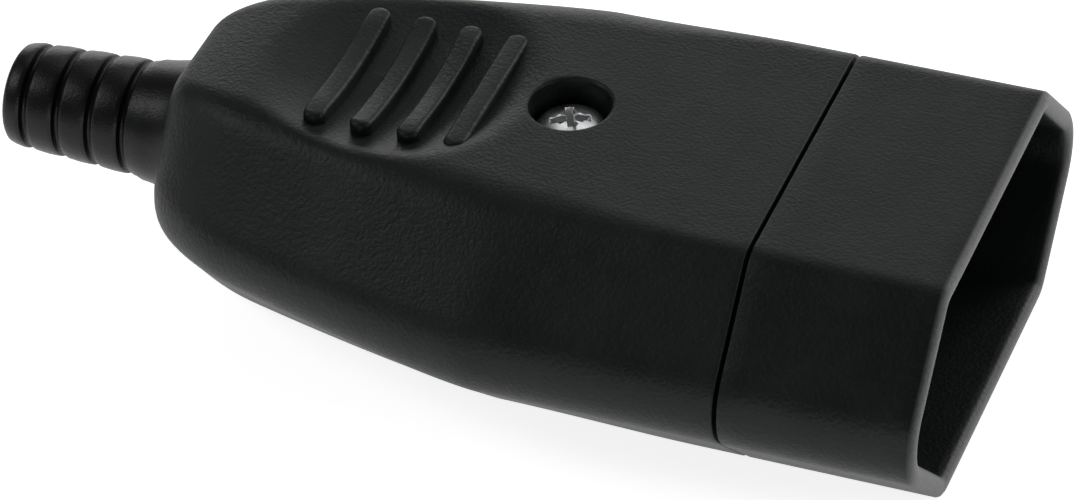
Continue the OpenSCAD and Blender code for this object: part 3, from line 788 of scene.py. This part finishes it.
# %% [markdown]
# ### Soft black rubber
# The guard is softer and glossier than the housing, with a finer grain, because rubber
# flows closely into its mould. Its gloss is uneven where it has been bent and handled.

# %% Material: guard rubber
rubber = moulded_plastic("black guard rubber", (0.003, 0.0034, 0.0033, 1),
                         (0.007, 0.0078, 0.0075, 1), 0.16, 0.5, 0.36, patch=3.0, specular=0.24)
dress(guard, rubber)

# %% [markdown]
# ### Steel, brass and spring steel
# The metals are plated or turned. Plated steel is bright with a soft haze and small dull
# spots. Brass is warmer and darkens in patches. One maker function serves them all: a metal
# shader, clouded colour, and roughness that follows the cloud and the scratches.

# %% Material maker: metals


def metal(name, dark, pale, rough):
    material = bpy.data.materials.new(name)
    tree, shader, place = shader_of(material)
    colour = use(tree, cloud, Position=place, Patch_size=1.5, Dark=dark, Pale=pale)
    marks = use(tree, scratch, Position=place, Amount=0.6)
    skin = use(tree, grain, Position=place, Pit_size=0.12, Depth=0.3)
    tree.links.new(colour.outputs["Colour"], shader.inputs["Base Color"])
    change = math_node(tree, "ADD", math_node(tree, "MULTIPLY", colour.outputs["Mask"], -0.12),
                       math_node(tree, "MULTIPLY", marks.outputs["Mask"], 0.2))
    set_surface(tree, shader, change, rough + 0.06, skin.outputs["Height"], 0.2, 0.00003)
    shader.inputs["Metallic"].default_value = 1.0
    return material


zinc = metal("zinc plated steel", (0.62, 0.63, 0.64, 1), (0.8, 0.8, 0.81, 1), 0.28)
brass = metal("turned brass", (0.56, 0.40, 0.17, 1), (0.78, 0.60, 0.30, 1), 0.3)
spring = metal("spring steel", (0.42, 0.43, 0.45, 1), (0.6, 0.61, 0.63, 1), 0.25)

# %% Dress the metal pieces
dress(screw, zinc)
metal_nodes = {
    "lid_screw": zinc, "terminal_screw_left": zinc, "terminal_screw_right": zinc,
    "clamp_screw_left": zinc, "clamp_screw_right": zinc,
    "sleeve_left": brass, "sleeve_right": brass, "block_left": brass, "block_right": brass,
    "cover_nut": brass, "clip_left": spring, "clip_right": spring,
    "wire_plate_left": spring, "wire_plate_right": spring}
for name, material in metal_nodes.items():
    dress(nodes[name], material)
left_out = [n for n, o in nodes.items() if not o.data.materials]
print("materials:", [m.name for m in bpy.data.materials], "without:", left_out)

# %% [markdown]
# ## The stage
# The socket lies on a plain pale floor. The floor is a matt surface that also gives out some
# light of its own, but only where it is seen by the camera, in a mirror-like reflection or
# through something clear: that makes it white without pouring more light on the black
# object, and the soft shadow stays.

# %% Floor
floor_reach = 3
paper_white, floor_glow = (0.8, 0.8, 0.8, 1), 0.84
bm = bmesh.new()
bmesh.ops.create_grid(bm, x_segments=1, y_segments=1, size=floor_reach)
mesh = bpy.data.meshes.new("floor")
bm.to_mesh(mesh)
bm.free()
floor = bpy.data.objects.new("floor", mesh)
bpy.context.scene.collection.objects.link(floor)
paper = bpy.data.materials.new("pale paper")
tree, shader, place = shader_of(paper)
shader.inputs["Base Color"].default_value = paper_white
shader.inputs["Roughness"].default_value = 0.9
shader.inputs["Specular IOR Level"].default_value = 0.1
path = tree.nodes.new("ShaderNodeLightPath")
seen = math_node(tree, "ADD", path.outputs["Is Camera Ray"],
                 math_node(tree, "ADD", path.outputs["Is Glossy Ray"],
                           path.outputs["Is Transmission Ray"]), True)
own_light = math_node(tree, "MULTIPLY", seen, floor_glow)
glow = add(tree, "ShaderNodeEmission", Strength=own_light)
both = tree.nodes.new("ShaderNodeAddShader")
tree.links.new(shader.outputs[0], both.inputs[0])
tree.links.new(glow.outputs[0], both.inputs[1])
tree.links.new(both.outputs[0], tree.nodes["Material Output"].inputs["Surface"])
dress(floor, paper)

# %% [markdown]
# ## Light
# Black plastic shows its shape only by what it reflects, so the lamps are large and soft.
# The key light is high behind the object: it lays a grey sheen on the flat top and leaves
# the near slanted side dark. Small lamps to the right and in front of the mouth catch its
# rim, and one on the left shows the taper. A low strip in front draws a pale band along the
# near tip, and a low lamp behind shows the far side when the object is turned round.

# %% Lamps


def lamp(name, at, to, size, power):
    data = bpy.data.lights.new(name, "AREA")
    data.shape = "RECTANGLE"
    data.size, data.size_y = size
    data.energy = power
    o = bpy.data.objects.new(name, data)
    bpy.context.scene.collection.objects.link(o)
    o.location = at
    o.rotation_euler = (Vector(to) - Vector(at)).to_track_quat("-Z", "Y").to_euler()


lamp("key", (-0.05, 0.4, 0.6), (0, 0, 0.01), (0.6, 0.45), 0.85)
lamp("rim", (0.35, 0.6, 0.25), (0.03, 0, 0.01), (0.35, 0.3), 1.6)
lamp("left", (-0.46, -0.17, 0.40), (-0.02, 0, 0.01), (0.2, 0.2), 0.75)
lamp("back", (-0.35, 0.75, 0.16), (0, 0, 0.01), (0.5, 0.2), 1.05)
lamp("low front", (0.02, -0.7, 0.1), (0.02, 0, 0.01), (0.22, 0.08), 0.5)
lamp("mouth", (0.7, -0.05, 0.25), (0.038, 0, 0.01), (0.2, 0.2), 0.9)

# %% [markdown]
# The world is white where the camera sees it, directly or through something clear. For all
# other rays it is dim: a little even light, so that nothing turns pure black.

# %% World
world_light = 0.08
world = bpy.data.worlds.new("studio")
bpy.context.scene.world = world
world.use_nodes = True
tree = world.node_tree
back = tree.nodes["Background"]
path = tree.nodes.new("ShaderNodeLightPath")
seen = math_node(tree, "ADD", path.outputs["Is Camera Ray"],
                 path.outputs["Is Transmission Ray"], True)
strength = math_node(tree, "ADD", math_node(tree, "MULTIPLY", seen, 0.92), world_light)
tree.links.new(strength, back.inputs["Strength"])
back.inputs["Color"].default_value = (1, 1, 1, 1)

# %% [markdown]
# ## Camera
# A long lens from about forty centimetres shows little perspective, as a catalogue picture
# does. The camera gets its place, and two of its own axes: the one to its right and the one
# that points behind it. The third, upwards, is square to both.

# %% Place the camera
bpy.context.scene.view_settings.view_transform = "Standard"
camera_data = bpy.data.cameras.new("camera")
camera_data.lens = 185.1
camera_data.sensor_width = 36
camera_data.clip_start = 0.01
camera = bpy.data.objects.new("camera", camera_data)
bpy.context.scene.collection.objects.link(camera)
camera.location = (0.1228, -0.2955, 0.2563)
right = Vector((0.9354, 0.3522, -0.0308)).normalized()
behind = Vector((0.2944, -0.7275, 0.6198)).normalized()
up = behind.cross(right).normalized()
camera.rotation_euler = Matrix((right, up, behind)).transposed().to_euler()
bpy.context.scene.camera = camera
print("camera distance %.3f m" % camera.location.length)
